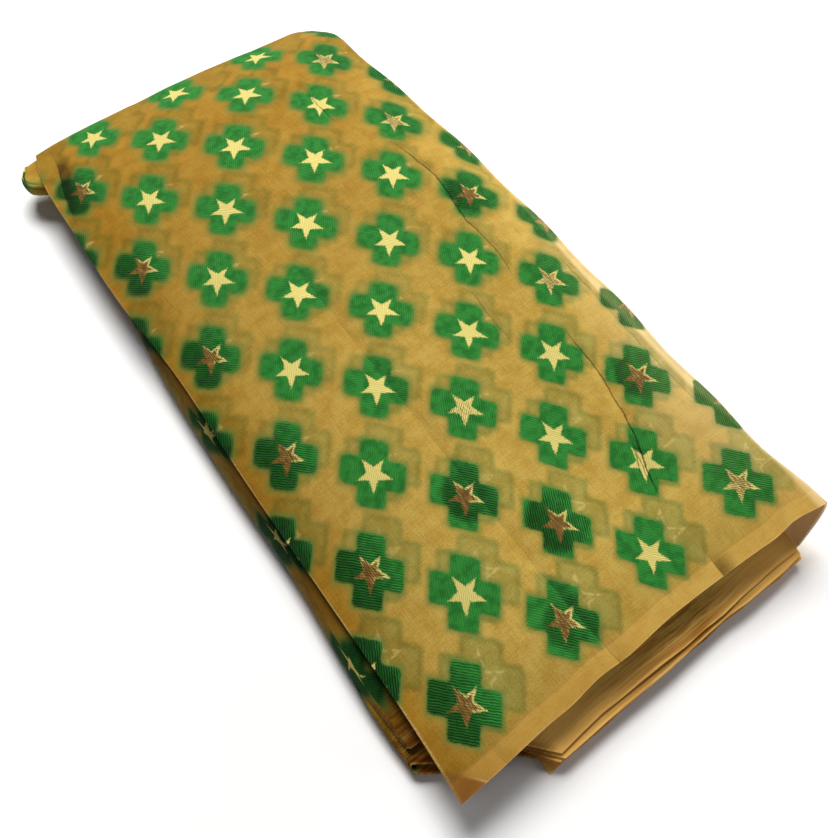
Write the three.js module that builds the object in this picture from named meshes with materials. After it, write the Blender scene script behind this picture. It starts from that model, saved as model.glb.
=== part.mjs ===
// A length of sheer jacquard dress cloth, folded into a packet as it lies on a shop counter.
//
// The cloth is doubled, woven edge to woven edge, and the doubled cloth is then folded back and
// forth into eight panels. The packet's long side runs along Y. Both woven edges lie at the low end
// of Y, and the fold that doubles the cloth lies at the high end. Panel 1 is on top. It begins at a
// cut end on the left, and panel 8, at the bottom, stops at the other cut end before it reaches the
// left side. At the low end of Y panel 1 stands open over the rest, like a mouth.
//
// Millimetres, +Z up. The origin is under the middle of the packet, on the surface that it lies on.

import * as THREE from "three";
import { ParametricGeometry } from "three/addons/geometries/ParametricGeometry.js";
import { mergeGeometries, mergeVertices } from "three/addons/utils/BufferGeometryUtils.js";

const { clamp, lerp, smoothstep } = THREE.MathUtils;

// Driving sizes
const doubledThickness = 1.2; // both plies of the cloth and the air between them
const leastPitch = 1.8; // from one panel to the next where they are pressed together
const packet = { near: -280, far: 284 };

// How finely the cloth is divided
const panelSteps = 10;
const foldSteps = 6;
const lengthSteps = 15;
const crowding = 0.07; // draws the steps together towards both ends of a stretch
const slopeReach = 1e-3; // half the step that a slope is measured over

// The panels from the top down. left and right are the shares of the packet's crown that lift a
// panel at either side. near is where its woven edges lie, far is where its doubling fold lies, and
// setback is how far its near left corner is drawn in.
const panels = [
  { left: 1.0, right: 1.0, near: -266, far: 286, setback: 0 },
  { left: 0.88, right: 0.7, near: -273, far: 285, setback: 8 },
  { left: 0.6, right: 0.64, near: -282, far: 281, setback: 26 },
  { left: 0.54, right: 0.46, near: -281, far: 282, setback: 31 },
  { left: 0.32, right: 0.4, near: -283, far: 278, setback: 28 },
  { left: 0.27, right: 0.22, near: -282, far: 280, setback: 34 },
  { left: 0, right: 0.16, near: -283, far: 276, setback: 37 },
  { left: 0, right: 0, near: -283, far: 272, setback: 0 },
];
const last = panels.length - 1;

// The sides of the packet, a row for each section across it. top is the cut end of panel 1, foldN
// is the fold between panels N and N + 1, and inner is the cut end of panel 8. tuck is how far
// panel 2 is drawn in under fold 1.
const sides = [
  { y: -280, top: -141, fold2: -133, fold4: -140, fold6: -139, inner: -86, fold1: 145, fold3: 122, fold5: 123, fold7: 121, tuck: 24 },
  { y: -225, top: -135.5, fold2: -137, fold4: -146, fold6: -143, inner: -85, fold1: 145.5, fold3: 130, fold5: 131, fold7: 128, tuck: 10 },
  { y: -150, top: -132, fold2: -136, fold4: -139, fold6: -137, inner: -84, fold1: 144, fold3: 137, fold5: 138, fold7: 134, tuck: 2 },
  { y: -60, top: -130, fold2: -134, fold4: -136, fold6: -134, inner: -84, fold1: 146.5, fold3: 141, fold5: 142, fold7: 138, tuck: 0 },
  { y: 40, top: -125.5, fold2: -129.5, fold4: -131.5, fold6: -129, inner: -83, fold1: 149, fold3: 143, fold5: 144, fold7: 140, tuck: 0 },
  { y: 130, top: -127, fold2: -122, fold4: -124, fold6: -122, inner: -82, fold1: 148, fold3: 143, fold5: 144, fold7: 140, tuck: 0 },
  { y: 200, top: -124, fold2: -120, fold4: -120, fold6: -118, inner: -81, fold1: 144, fold3: 141, fold5: 142, fold7: 138, tuck: 0 },
  { y: 250, top: -121, fold2: -118.5, fold4: -116, fold6: -114, inner: -80, fold1: 145, fold3: 139, fold5: 140, fold7: 137, tuck: 0 },
  { y: 284, top: -113, fold2: -131, fold4: -112, fold6: -110, inner: -80, fold1: 141, fold3: 135, fold5: 136, fold7: 133, tuck: 0 },
];

// The crown: how high panel 1 lies, a row for each section. The columns stand at the places across
// the packet that crownPlaces gives.
const crownPlaces = { edge: -138, brow: -105, slope: -60, middle: -10, rise: 40, ridge: 90, shoulder: 125, side: 147 };
const crown = [
  { y: -280, edge: 27, brow: 29, slope: 30, middle: 30, rise: 30, ridge: 33, shoulder: 37, side: 39 },
  { y: -225, edge: 24, brow: 30, slope: 35, middle: 35, rise: 33, ridge: 35, shoulder: 38, side: 39 },
  { y: -150, edge: 21, brow: 32, slope: 41, middle: 42, rise: 39, ridge: 41, shoulder: 43, side: 39 },
  { y: -60, edge: 20, brow: 35, slope: 46, middle: 50, rise: 49, ridge: 49, shoulder: 47, side: 40 },
  { y: 40, edge: 19, brow: 34, slope: 47, middle: 53, rise: 54, ridge: 54, shoulder: 50, side: 41 },
  { y: 130, edge: 21, brow: 35, slope: 46, middle: 54, rise: 56, ridge: 55, shoulder: 50, side: 41 },
  { y: 200, edge: 23, brow: 34, slope: 43, middle: 48, rise: 51, ridge: 51, shoulder: 47, side: 40 },
  { y: 250, edge: 24, brow: 31, slope: 37, middle: 40, rise: 41, ridge: 42, shoulder: 41, side: 37 },
  { y: 284, edge: 15, brow: 24, slope: 27, middle: 28, rise: 29, ridge: 27, shoulder: 26, side: 20 },
];

// The woven edge of panel 1 isn't straight.
const topEdge = [
  { x: -140, y: -267 },
  { x: -95, y: -267 },
  { x: -50, y: -266 },
  { x: -10, y: -263 },
  { x: 30, y: -261 },
  { x: 85, y: -261 },
  { x: 115, y: -264 },
  { x: 142, y: -270 },
];

// The mouth: the share of its lift that is left to all that lies under panel 1.
const mouth = [
  { y: -280, share: 0.15 },
  { y: -225, share: 0.45 },
  { y: -150, share: 0.85 },
  { y: -60, share: 1 },
  { y: 284, share: 1 },
];

const drawnIn = { from: -86, to: -102 }; // where the near left corners are drawn in
const settled = { from: -87, to: -101 }; // where the panels settle past the end of panel 8
const farCorners = { middle: 8, halfWidth: 140, round: 5, power: 8 }; // the rounding of the far end
// How far a fold stands out for its height, and the share of a tuck that this is less by
const foldBulge = { share: 0.65, least: 1.3, most: 9, spared: 0.25 };

// The height of a smooth curve through values that stand at rising places
function smoothThrough(places, values, place) {
  const end = places.length - 1;
  const at = clamp(place, places[0], places[end]);
  let i = 0;
  while (i < end - 1 && at > places[i + 1]) i += 1;
  const slope = (a, b) => (values[b] - values[a]) / (places[b] - places[a]);
  const step = places[i + 1] - places[i];
  const t = (at - places[i]) / step;
  const slopeIn = slope(Math.max(i - 1, 0), i + 1) * step;
  const slopeOut = slope(i, Math.min(i + 2, end)) * step;
  const start = values[i];
  const rise = values[i + 1] - start;
  return start + t * (slopeIn + t * (3 * rise - 2 * slopeIn - slopeOut + t * (slopeIn + slopeOut - 2 * rise)));
}

// One column of a table of rows, read between its rows
function read(rows, place, column, key = "y") {
  return smoothThrough(rows.map((row) => row[key]), rows.map((row) => row[column]), place);
}

function crownHeight(x, y) {
  const columns = Object.keys(crownPlaces);
  return smoothThrough(Object.values(crownPlaces), columns.map((column) => read(crown, y, column)), x);
}

// How high a panel would lie if the packet were pressed flat at this place
function pressedHeight(panel, x) {
  const alone = panel === last ? 0 : last - 1 - panel + smoothstep(x, settled.to, settled.from);
  return doubledThickness / 2 + leastPitch * alone;
}

function panelHeight(panel, x, y) {
  const across = smoothstep(x, sides[0].top, sides[0].fold1);
  const share = lerp(panels[panel].left, panels[panel].right, across);
  const open = panel === 0 ? 1 : read(mouth, y, "share");
  return pressedHeight(panel, x) + share * open * (crownHeight(x, y) - pressedHeight(0, x));
}

function nearEdge(panel, x) {
  if (panel === 0) return read(topEdge, x, "y", "x");
  const drawn = panels[panel].setback * (1 - smoothstep(x, drawnIn.to, drawnIn.from));
  return panels[panel].near + drawn;
}

function farEdge(panel, x) {
  const off = (x - farCorners.middle) / farCorners.halfWidth;
  return panels[panel].far - farCorners.round * Math.abs(off) ** farCorners.power;
}

// A fold is a half ellipse that stands on its side. It joins the panel above to the one below.
function foldShape(fold, section) {
  const side = fold % 2 === 0 ? 1 : -1;
  const tip = read(sides, section, `fold${fold + 1}`);
  const gap = panelHeight(fold, tip, section) - panelHeight(fold + 1, tip, section);
  const tuck = fold === 0 ? read(sides, section, "tuck") : 0;
  const bulge = clamp(gap * foldBulge.share, foldBulge.least, foldBulge.most) - tuck * foldBulge.spared;
  const above = tip - side * bulge;
  return { side, bulge, above, below: above - side * tuck };
}

// Where a panel starts and ends, from its upper fold or cut end to its lower one
function panelEnds(panel, section) {
  const from = panel === 0 ? read(sides, section, "top") : foldShape(panel - 1, section).below;
  const to = panel === last ? read(sides, section, "inner") : foldShape(panel, section).above;
  return [from, to];
}

const evened = (t) => t - crowding * Math.sin(2 * Math.PI * t);

// A point of the panel's middle surface, at t across it and v along it
function onPanel(panel, t, v, target) {
  const section = lerp(packet.near, packet.far, v);
  const [from, to] = panelEnds(panel, section);
  const x = lerp(from, to, evened(t));
  const y = lerp(nearEdge(panel, x), farEdge(panel, x), v);
  return target.set(x, y, panelHeight(panel, x, y));
}

// A point of the fold's middle surface, at t round it and v along it
function onFold(fold, t, v, target) {
  const section = lerp(packet.near, packet.far, v);
  const { side, bulge, above, below } = foldShape(fold, section);
  const upperY = lerp(nearEdge(fold, above), farEdge(fold, above), v);
  const lowerY = lerp(nearEdge(fold + 1, below), farEdge(fold + 1, below), v);
  const upper = panelHeight(fold, above, upperY);
  const lower = panelHeight(fold + 1, below, lowerY);
  const turn = Math.PI * t;
  const x = lerp(above, below, t) + side * bulge * Math.sin(turn);
  return target.set(x, lerp(upperY, lowerY, t), lerp(upper, lower, (1 - Math.cos(turn)) / 2));
}

// The whole cloth from one cut end to the other is one path of panels and folds.
const stretches = panels.flatMap((_, i) => {
  const panel = { steps: panelSteps, point: (t, v, target) => onPanel(i, t, v, target) };
  const fold = { steps: foldSteps, point: (t, v, target) => onFold(i, t, v, target) };
  return i === last ? [panel] : [panel, fold];
});
const pathSteps = stretches.reduce((sum, stretch) => sum + stretch.steps, 0);

function onCloth(step, v, target) {
  let rest = clamp(step, 0, pathSteps);
  let i = 0;
  while (i < stretches.length - 1 && rest > stretches[i].steps) {
    rest -= stretches[i].steps;
    i += 1;
  }
  return stretches[i].point(rest / stretches[i].steps, evened(v), target);
}

const ahead = new THREE.Vector3();
const behind = new THREE.Vector3();
const along = new THREE.Vector3();

// A point on the cloth's upper face (face 1) or lower face (face -1)
function onFace(step, v, face, target) {
  onCloth(Math.min(step + slopeReach, pathSteps), v, ahead);
  onCloth(Math.max(step - slopeReach, 0), v, behind);
  const across = ahead.clone().sub(behind);
  onCloth(step, Math.min(v + slopeReach, 1), ahead);
  onCloth(step, Math.max(v - slopeReach, 0), behind);
  along.copy(ahead).sub(behind);
  const normal = across.cross(along).normalize();
  return onCloth(step, v, target).addScaledVector(normal, (face * doubledThickness) / 2);
}

// Both faces and both cut ends, as one ring round the cloth's path
function skin() {
  const ringSteps = 2 * pathSteps + 2;
  const point = (u, v, target) => {
    const step = Math.round(u * ringSteps) % ringSteps;
    const isUpper = step <= pathSteps;
    return onFace(isUpper ? step : 2 * pathSteps + 1 - step, v, isUpper ? 1 : -1, target);
  };
  return new ParametricGeometry(point, ringSteps, lengthSteps);
}

// The narrow strip that closes the cloth between its two faces, at the near or the far end
function rim(v) {
  const firstFace = v === 0 ? -1 : 1;
  const point = (u, w, target) => {
    return onFace(Math.round(u * pathSteps), v, w < 0.5 ? firstFace : -firstFace, target);
  };
  return new ParametricGeometry(point, pathSteps, 1);
}

function foldedCloth() {
  const pieces = [skin(), rim(0), rim(1)];
  for (const piece of pieces) {
    piece.deleteAttribute("normal");
    piece.deleteAttribute("uv");
  }
  const geometry = mergeVertices(mergeGeometries(pieces), 1e-4);
  geometry.computeBoundingBox();
  const { min, max } = geometry.boundingBox;
  geometry.translate(-(min.x + max.x) / 2, -(min.y + max.y) / 2, -min.z);
  geometry.computeVertexNormals();
  return geometry;
}

const mustardCloth = new THREE.MeshStandardMaterial({ color: 0xbf953f, roughness: 0.8, metalness: 0 });

const packetOfCloth = new THREE.Group();
const cloth = new THREE.Mesh(foldedCloth(), mustardCloth);
cloth.name = "folded_cloth";
packetOfCloth.add(cloth);

export default packetOfCloth;
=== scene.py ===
"""A length of sheer jacquard dress cloth, folded into a packet as it lies on a shop counter.

The cloth is doubled, woven edge to woven edge, and then folded back and forth into eight panels.
It is one mesh: the outer ply runs from its woven edge at the near end of the packet to the fold at
the far end that doubles the cloth, and the inner ply runs back below it. Sizes are in millimetres
until a mesh is made of them.
"""

import math
from collections import namedtuple

import bpy
import numpy as np
from mathutils import Matrix, Vector


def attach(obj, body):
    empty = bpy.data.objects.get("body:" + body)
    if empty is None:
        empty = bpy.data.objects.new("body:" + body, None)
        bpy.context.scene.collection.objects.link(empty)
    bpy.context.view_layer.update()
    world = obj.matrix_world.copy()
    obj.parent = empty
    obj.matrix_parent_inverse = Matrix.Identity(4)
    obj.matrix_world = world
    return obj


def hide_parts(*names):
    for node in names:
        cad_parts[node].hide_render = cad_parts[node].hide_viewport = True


bl_info = {
    "name": "Folded jacquard cloth",
    "version": (1, 0, 0),
    "blender": (4, 5, 0),
    "location": "View3D > Sidebar > Cloth packet",
    "description": "Dresses the folded packet in its sheer woven cloth",
    "category": "Object",
}

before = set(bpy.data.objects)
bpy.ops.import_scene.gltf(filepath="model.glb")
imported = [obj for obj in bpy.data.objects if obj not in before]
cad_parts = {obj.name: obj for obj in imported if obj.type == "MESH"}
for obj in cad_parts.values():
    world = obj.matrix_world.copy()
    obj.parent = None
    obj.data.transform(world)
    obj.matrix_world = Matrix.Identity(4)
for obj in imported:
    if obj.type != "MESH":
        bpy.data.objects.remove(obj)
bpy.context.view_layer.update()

MM = 0.001


def table(columns, *rows):
    """Rows of values with a name for each column."""
    row = namedtuple("Row", columns)
    return [row(*values) for values in rows]


# The packet's folds. Places are measured on the packet, before it is centred.

PACKET_NEAR = -280
PACKET_FAR = 284
PACKET_MIDDLE = (1.62, 1.46)  # the middle of the packet's box

DOUBLED_THICKNESS = 1.2
LEAST_PITCH = 1.8  # from one panel to the next where they are pressed

PANELS = table(
    "lift_left lift_right near far setback steps",
    (1, 1, -266, 286, 0, 160),
    (0.88, 0.70, -279, 285, 50, 16),
    (0.60, 0.60, -283, 281, 56, 16),
    (0.54, 0.44, -282, 282, 33, 16),
    (0.32, 0.40, -283, 278, 28, 16),
    (0.27, 0.22, -282, 280, 34, 16),
    (0, 0.16, -283, 276, 37, 16),
    (0, 0, -283, 272, 0, 14),
)
LAST = len(PANELS) - 1

# The sides of the packet at sections along it: cut ends, and the folds between panels
SIDES = table(
    "y top fold2 fold4 fold6 inner fold1 fold3 fold5 fold7 tuck",
    (-280, -138.5, -143, -147, -145, -86, 145, 122, 123, 121, 24),
    (-225, -134.5, -143, -146, -144, -85, 145.5, 130, 131, 128, 10),
    (-150, -132, -136, -139, -137, -84, 144, 137, 138, 134, 2),
    (-60, -130, -134, -136, -134, -84, 146.5, 141, 142, 138, 0),
    (40, -125.5, -129.5, -131.5, -129, -83, 149, 143, 144, 140, 0),
    (130, -127, -122, -124, -122, -82, 148, 143, 144, 140, 0),
    (200, -124, -120, -120, -118, -81, 144, 141, 142, 138, 0),
    (250, -121, -118.5, -116, -114, -80, 145, 139, 140, 137, 0),
    (284, -112.5, -121, -112, -110, -80, 141, 135, 136, 133, 0),
)

# How high the top panel lies, at sections along it and at places across it
CROWN_PLACES = (-138, -105, -60, -10, 40, 90, 125, 147)
CROWN = table(
    "y edge brow slope middle rise ridge shoulder side",
    (-280, 27, 29, 30, 30, 30, 33, 37, 39),
    (-225, 24, 30, 35, 35, 33, 35, 38, 39),
    (-150, 21, 32, 41, 42, 39, 41, 43, 39),
    (-60, 20, 35, 46, 50, 49, 49, 47, 40),
    (40, 19, 34, 47, 53, 54, 54, 50, 41),
    (130, 21, 35, 46, 54, 56, 55, 50, 41),
    (200, 23, 34, 43, 48, 51, 51, 47, 40),
    (250, 25, 31, 37, 40, 41, 42, 41, 37),
    (284, 19, 25, 27, 28, 29, 27, 26, 20),
)

# The woven edge of the top panel
TOP_EDGE = table(
    "x y",
    (-141, -268), (-105, -267), (-80, -265.5), (-60, -265.5), (-38, -263.5), (-14, -264.5), (20, -263),
    (56, -264), (86, -265.5), (104, -266.8), (120, -266), (142, -270),
)

# The outer ply's near left corner is turned under: where its fold starts on the cloth, and the
# way that the fold runs
CORNER_TURN = (-14.6, -38.7)
CORNER_RUN = (-0.618, 0.787)

# The mouth under the top panel: the share of its lift that is left to the panels below
MOUTH = table("y share", (-280, 0.15), (-225, 0.45), (-150, 0.85), (-60, 1), (284, 1))

# The first fold on the left hangs over the folds below it
DROOP = table(
    "y down out",
    (-280, 3, 0), (-225, 5, 1.5), (-150, 6, 2.5), (-60, 6.5, 2.5), (40, 6, 2),
    (130, 4, 1.5), (220, 1, 0), (255, -3, 0), (284, -2.5, 0),
)

# The second fold's lobe at the far end: how far it stands out, where along the packet it opens and
# closes again, and how far its lower half hangs open there
LOBE_REACH = 12
LOBE_OPENS, LOBE_CLOSES = (240, 264), (270, 292)
LOBE_SWELL = 9
SWELL_OPENS, SWELL_CLOSES = (240, 268), (276, 290)
SWELL_CLOSED = 0.6

# The top fold stands out a little where it goes over a cross
RIM_WAVE, RIM_CROSS, RIM_REPEAT = 1.2, 45, 90

# The lower panels on the left: where their near edges are set back, how far their corners run back
# and from which panel on, and where they settle past the end of the last panel
DRAWN_IN = (-86, -102)
CORNER_CUT, CORNER_CUT_PLACES, FIRST_CUT_PANEL = 15, (-150, -133), 3
SETTLED = (-87, -101)

# The rounding of the far end, and how far a fold bulges for the gap between its panels
FAR_MIDDLE, FAR_HALF_WIDTH, FAR_ROUND, FAR_POWER = 8, 140, 5, 8
BULGE_SHARE, BULGE_LEAST, BULGE_MOST, BULGE_SPARED = 0.65, 1.3, 9, 0.25

# Chance heights: the size of their table, and the place in it that the cloth starts from
CHANCE_TABLE, CHANCE_START = 96, 24

# Waves of chance height in mm, with the size of their patches in mm and the seed they are drawn with
LOW_WAVES = table("height size seed", (0.9, 55, 3), (0.35, 21, 5), (0.12, 9, 8))
EDGE_OUT = table("height size seed", (1.5, 44, 11), (0.8, 17, 12))
EDGE_UP = table("height size seed", (0.6, 38, 13), (0.2, 15, 14))

# The near edges' own play: how far apart in the chance heights two panels, two plies and the two
# ways lie, how much looser the left corner is, and how little of the play the top panel has
PANEL_APART, PLY_APART, WAY_APART = 37, 11, 9
LOOSE_CORNER, LOOSE_PLACES = 1.3, (-125, -95)
PLY_STEP = 0.6
TOP_OUT, TOP_UP = 0.12, 0.3
EDGE_REACH = 28  # how far from the edge the play goes
LEAST_HEIGHT = 0.3  # of the middle of a ply above the table

# Each ply stands this share of the doubled thickness from the middle, and closer at the near edge
PLY_SHARE, PLY_CLOSER = 0.45, 0.45

# Creases in the mesh: a thin trough, a wider one at a pressed fold, and its depth
TROUGH_WIDTH, PRESSED_WIDTH, PRESSED_DEPTH = 2.6, 5, 0.5
FLAT_EDGE = 25  # the low unevenness comes in over this distance from the near edge
NO_CREASE = 40  # the distance that stands for no crease near

# The woven figures, in mm on the cloth
CROSS_REACH, CROSS_ARM = 19.2, 16.4
CROSS_SQUAT = 1.17  # how much longer a cross is along the packet than across it
CROSS_FILLET = 3.6  # the rounding between its arms
OWN_ROUNDING = (4, 10)  # of its arms' corners, near and far
UNDER_ROUNDING = 5  # the same, on the ply below
STAR_MIDDLE, STAR_ARM = (0, -1.4), 4.1
STAR_TIPS = ((0, 10.4), (10.1, 2), (7.3, -11.4))
STAR_BACK = 0.8  # how far an arm reaches back past the middle
WEAVE_STEP = 0.7
RIB_WAYS = ((0.74, 0.67), (-0.866, 0.5))  # across its ribs, in one column and in the next
RIB_PITCH, THREAD_PITCH = 1.42, 1.15
PATTERN_ENDS = 20  # no figure has its middle further than this past the first or last row
NO_FIGURE = 20  # the distance that stands for no figure near
SELVEDGE, HEM = (13, 10.5), (10.2, 11.2)  # the closer woven edge, and the line along it

FOLD_STEPS = 8
ROWS = 125  # along each ply
RIM_ROWS = 3  # round the fold that doubles the cloth
RIM_SHARES = np.linspace(0, 1, RIM_ROWS + 2)[1:-1]

# Where the woven pattern lies. Places on the cloth are counted from the star nearest to the
# packet's near left corner: across the packet, and along it.
PATTERN_START = (105, 228)
DOUBLING_LINE = 518.5  # the place along, of the fold that doubles the cloth

# The cloth isn't drawn quite straight: how far its pattern has slid, over places along and across
SLIDE_PLACES = (0, 36, 110, 145, 217)
SLID_ACROSS = table(
    "along edge left middle right side",
    (0, -0.5, -0.5, -0.5, -4, -1.7),
    (150, 3, 0.9, -1, 0, -1),
    (300, 3.8, 1.2, 0.2, 2, 2),
    (450, 3.7, -1.5, -0.5, 1.8, 0.5),
)
SLID_ALONG = table(
    "along edge left middle right side",
    (0, -1.5, 0.5, 0.5, 0, 0),
    (100, 0, 0.8, 2.5, 1, 1),
    (200, 0, 0.3, 0.5, -1, 0.5),
    (320, 0.3, 0, -2, -2, 0),
    (450, 1, 1.5, 3, 2.5, 1),
)

HIDDEN_SLIP = (14, 10)  # what the first hidden panel takes up, across and along
HIDDEN_FROM = (0.9, 1.4)  # the panels over which it does so

# The inner ply has slid across the outer one, and the fold at the far end doesn't let it
PLY_SLIP = table(
    "along across",
    (-40, 20.5), (0, 22), (50, 24.5), (100, 26.5), (225, 28), (360, 27), (450, 24.5), (485, 16),
    (518, 0),
)

# Where the gold thread is turned from the light: a place on the cloth, its reach and its glow
GLOW = table(
    "across glow",
    (-60, 0.15), (-8, 0.12), (12, 0.42), (28, 0.95), (200, 0.95), (214, 0.42), (260, 0.35),
)
INNER_GLOW, LAST_GLOWING = (0.75, 0.3), 2.5  # on the inner ply, up to this panel and past it
DULL_EDGE = (0.6, 1)  # the shares of its reach between which a dull place ends
DULL_PLACES = table(
    "across along reach glow",
    (75, -4, 22, 0.24), (108, 45, 26, 0.05), (76, 88, 24, 0.10), (108, 135, 20, 0.55),
    (181, 137, 18, 0.70), (36, 45, 16, 0.78), (217, 90, 20, 0.20), (217, 270, 22, 0.16),
)


def crease_rows(*rows):
    return table("across along strength pressed", *rows)


# Creases in the top panel, as places on the cloth from far to near, with their strength there.
# A crease is a thin line of painted shade in a soft trough of the mesh, and a pressed fold has painted shade
# on one side too.
CREASES = {
    "long far crease": crease_rows(
        (202.5, 345, 0, 0), (206, 325, 0.8, 0), (209, 300, 1, 0.2), (207, 280, 1, 0.3),
        (202, 255, 0.9, 0.3), (202.5, 230, 0.7, 0.3), (200.5, 207, 0.6, 0.2), (195, 190, 0, 0),
    ),
    "long near crease": crease_rows(
        (199, 150, 0, 0), (198, 130, 0.8, 0.1), (197, 110, 0.9, 0.2), (193, 90, 0.9, 0.2),
        (187, 63, 1, 0.2), (180, 47, 1.2, 0.2), (174, 32, 1, 0.1), (169, 20, 0, 0),
    ),
    "short near crease": crease_rows(
        (183, 62, 0, 0), (179, 54, 0.8, 0), (173, 42, 0.8, 0), (168, 30, 0, 0),
    ),
    "right crease": crease_rows(
        (237, 195, 0, 0), (237, 180, 0.7, 0.2), (236, 150, 0.6, 0.2), (234, 118, 0.6, 0.2),
        (234, 65, 0.6, 0.2), (235, 45, 0, 0),
    ),
    "middle crease": crease_rows(
        (168, 212, 0, 0), (166, 195, 0.45, 0), (164, 175, 0.5, 0), (165, 140, 0, 0),
    ),
    "far crease": crease_rows(
        (184, 432, 0, 0), (182.5, 415, 0.7, 0), (181.5, 395, 0.7, 0), (181, 380, 0, 0),
    ),
    "pressed fold": crease_rows(
        (83, 300, 0, 0), (82, 265, 0.1, 0.6), (80, 180, 0.15, 0.7), (79, 90, 0.15, 0.9),
        (80, 10, 0.2, 1), (82, -20, 0.3, 0.8), (83, -38, 0.5, 0.3),
    ),
    "edge tuck": crease_rows(
        (3, 512, 0, 0.3), (2, 496, 0.3, 1), (-3, 477, 0.5, 1.5), (-9, 457, 0.5, 1.35),
        (-13, 435, 0.3, 0.9), (-18, 418, 0, 0.2),
    ),
    "left selvedge pleat": crease_rows(
        (-3, -18, 0, 0), (-3, -28, 0.1, 0.7), (-2, -40, 0.15, 0.9),
    ),
    "right selvedge pleat": crease_rows(
        (168, -14, 0, 0), (168, -26, 0.4, 1.15), (167, -38, 0.5, 1.25),
    ),
}

# How clearly the ply below shows through, at places along the cloth
GHOST_ALONG = (0, 130, 220, 420), (1.0, 0.85, 0.6, 0.45)

# The depth of tone of the top panel: at places along it, and the parts that are deeper or paler.
# Its left side and the strip along its left cut edge are deeper in painted shade, its right side
# is paler in painted light, and its near left corner is deeper.
# A part comes in from the first to the second of each pair of places.
TONE_ALONG = (60, 250, 430), (0.0, 0.35, 0.9)
LEFT_TONE = {"amount": 0.55, "across": (25, -35)}
NEAR_LEFT_TONE = {"amount": 0.6, "along": (-15, -40), "across": (140, 60)}
LEFT_STRIP_SHADE = {"amount": 0.55, "across": (-2, -33), "along": (330, 200)}
RIGHT_SIDE_LIGHT = {"amount": -0.4, "across": (185, 240), "packet_y": (262, 150), "along": (-40, 60)}

# Its right rim is lit from behind, past a line that has a place across for each place along
RIM_LINE = (-40, 0, 40, 65, 150, 200, 260), (136, 137, 136.5, 132, 133, 137, 143)
RIM_LIGHT = {"amount": 0.9, "packet_y": (262, 200)}
RIM_SOFTNESS = 3

# Its inner ply, in painted shade on the left and in painted light through the cloth on the right
INNER_SHADE_AND_LIGHT, INNER_PLACES = (1.6, -1.5), (40, 140)

# The panels below: in painted shade, with painted light through the cloth in the mouth, less shade at
# the far end, and deeper painted shade beside the top panel's cut edge. The top panel's tone ends
# between two panel numbers, sooner on the right fold.
BETWEEN_SHADE = 1.6
MOUTH_LIGHT = (-80, -20, 40, 120), (-1.4, -0.6, -0.2, -1.65)
MOUTH_REACH = {"amount": 1, "packet_y": (-215, -272), "packet_x": (-112, -78)}
FAR_TONE, FAR_TONE_PLACES = 0.7, (238, 262)
BESIDE_TOP_SHADE = {"amount": 0.8, "past_edge": (-12, -1)}
BESIDE_TOP_ENDS = (8, 1)
TOP_ENDS, RIGHT_FOLD_SOONER, RIGHT_FOLD_FROM = (0.55, 1.0), 0.15, 100

# The stage, in metres, and its camera, whose place and aim are in mm
LAMPS = table(
    "name place size power colour",
    ("window", (0.8, 1.55, 2.3), (1.8, 1.5), 126, (1.0, 0.985, 0.96)),
    ("card", (1.7, -1.2, 0.35), (1.6, 0.5), 18, (1.0, 0.97, 0.93)),
)
TABLE_SIZE, TABLE_COLOUR = 12, (0.965, 0.965, 0.97, 1)
ROOM_LIGHT, ROOM_COLOUR = 0.1, (1.0, 0.98, 1.0, 1)
CAMERA_PLACE, CAMERA_AIM = (-202.1, -287.6, 533.6), (-22.2, -73.0, 30.0)
CAMERA_LENS, CAMERA_ROLL = 39.13, 3.2


def smooth_through(places, values, at):
    """The height of a smooth curve through values at rising places, for each number in at.

    Each of the values is a number, or an array with one number for each in at.
    """
    places = np.asarray(places, float)
    at = np.clip(np.asarray(at, float), places[0], places[-1])
    values = np.stack([np.broadcast_to(np.asarray(value, float), at.shape) for value in values])
    end = len(places) - 1
    i = np.clip(np.searchsorted(places, at) - 1, 0, end - 1)

    def value(k):
        return np.take_along_axis(values, np.clip(k, 0, end)[None], axis=0)[0]

    def slope(a, b):
        a, b = np.clip(a, 0, end), np.clip(b, 0, end)
        return (value(b) - value(a)) / (places[b] - places[a])

    step = places[i + 1] - places[i]
    t = (at - places[i]) / step
    slope_in = slope(i - 1, i + 1) * step
    slope_out = slope(i, i + 2) * step
    rise = value(i + 1) - value(i)
    bend = 3 * rise - 2 * slope_in - slope_out
    return value(i) + t * (slope_in + t * (bend + t * (slope_in + slope_out - 2 * rise)))


def read(rows, at, column, key="y"):
    """One column of a table of rows, read between its rows."""
    places = [getattr(row, key) for row in rows]
    return smooth_through(places, [getattr(row, column) for row in rows], at)


def smoothstep(x, low, high):
    t = np.clip((x - low) / (high - low), 0, 1)
    return t * t * (3 - 2 * t)


def lerp(a, b, t):
    return a + (b - a) * t


def crown_height(x, y):
    columns = [read(CROWN, y, column) for column in CROWN[0]._fields[1:]]
    return smooth_through(CROWN_PLACES, columns, x)


def pressed_height(panel, x):
    """How high a panel would lie if the packet were pressed flat there."""
    alone = 0 if panel == LAST else LAST - 1 - panel + smoothstep(x, SETTLED[1], SETTLED[0])
    return DOUBLED_THICKNESS / 2 + LEAST_PITCH * alone


def panel_height(panel, x, y):
    across = smoothstep(x, SIDES[0].top, SIDES[0].fold1)
    share = lerp(PANELS[panel].lift_left, PANELS[panel].lift_right, across)
    left_open = 1 if panel == 0 else read(MOUTH, y, "share")
    return pressed_height(panel, x) + share * left_open * (crown_height(x, y) - pressed_height(0, x))


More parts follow.
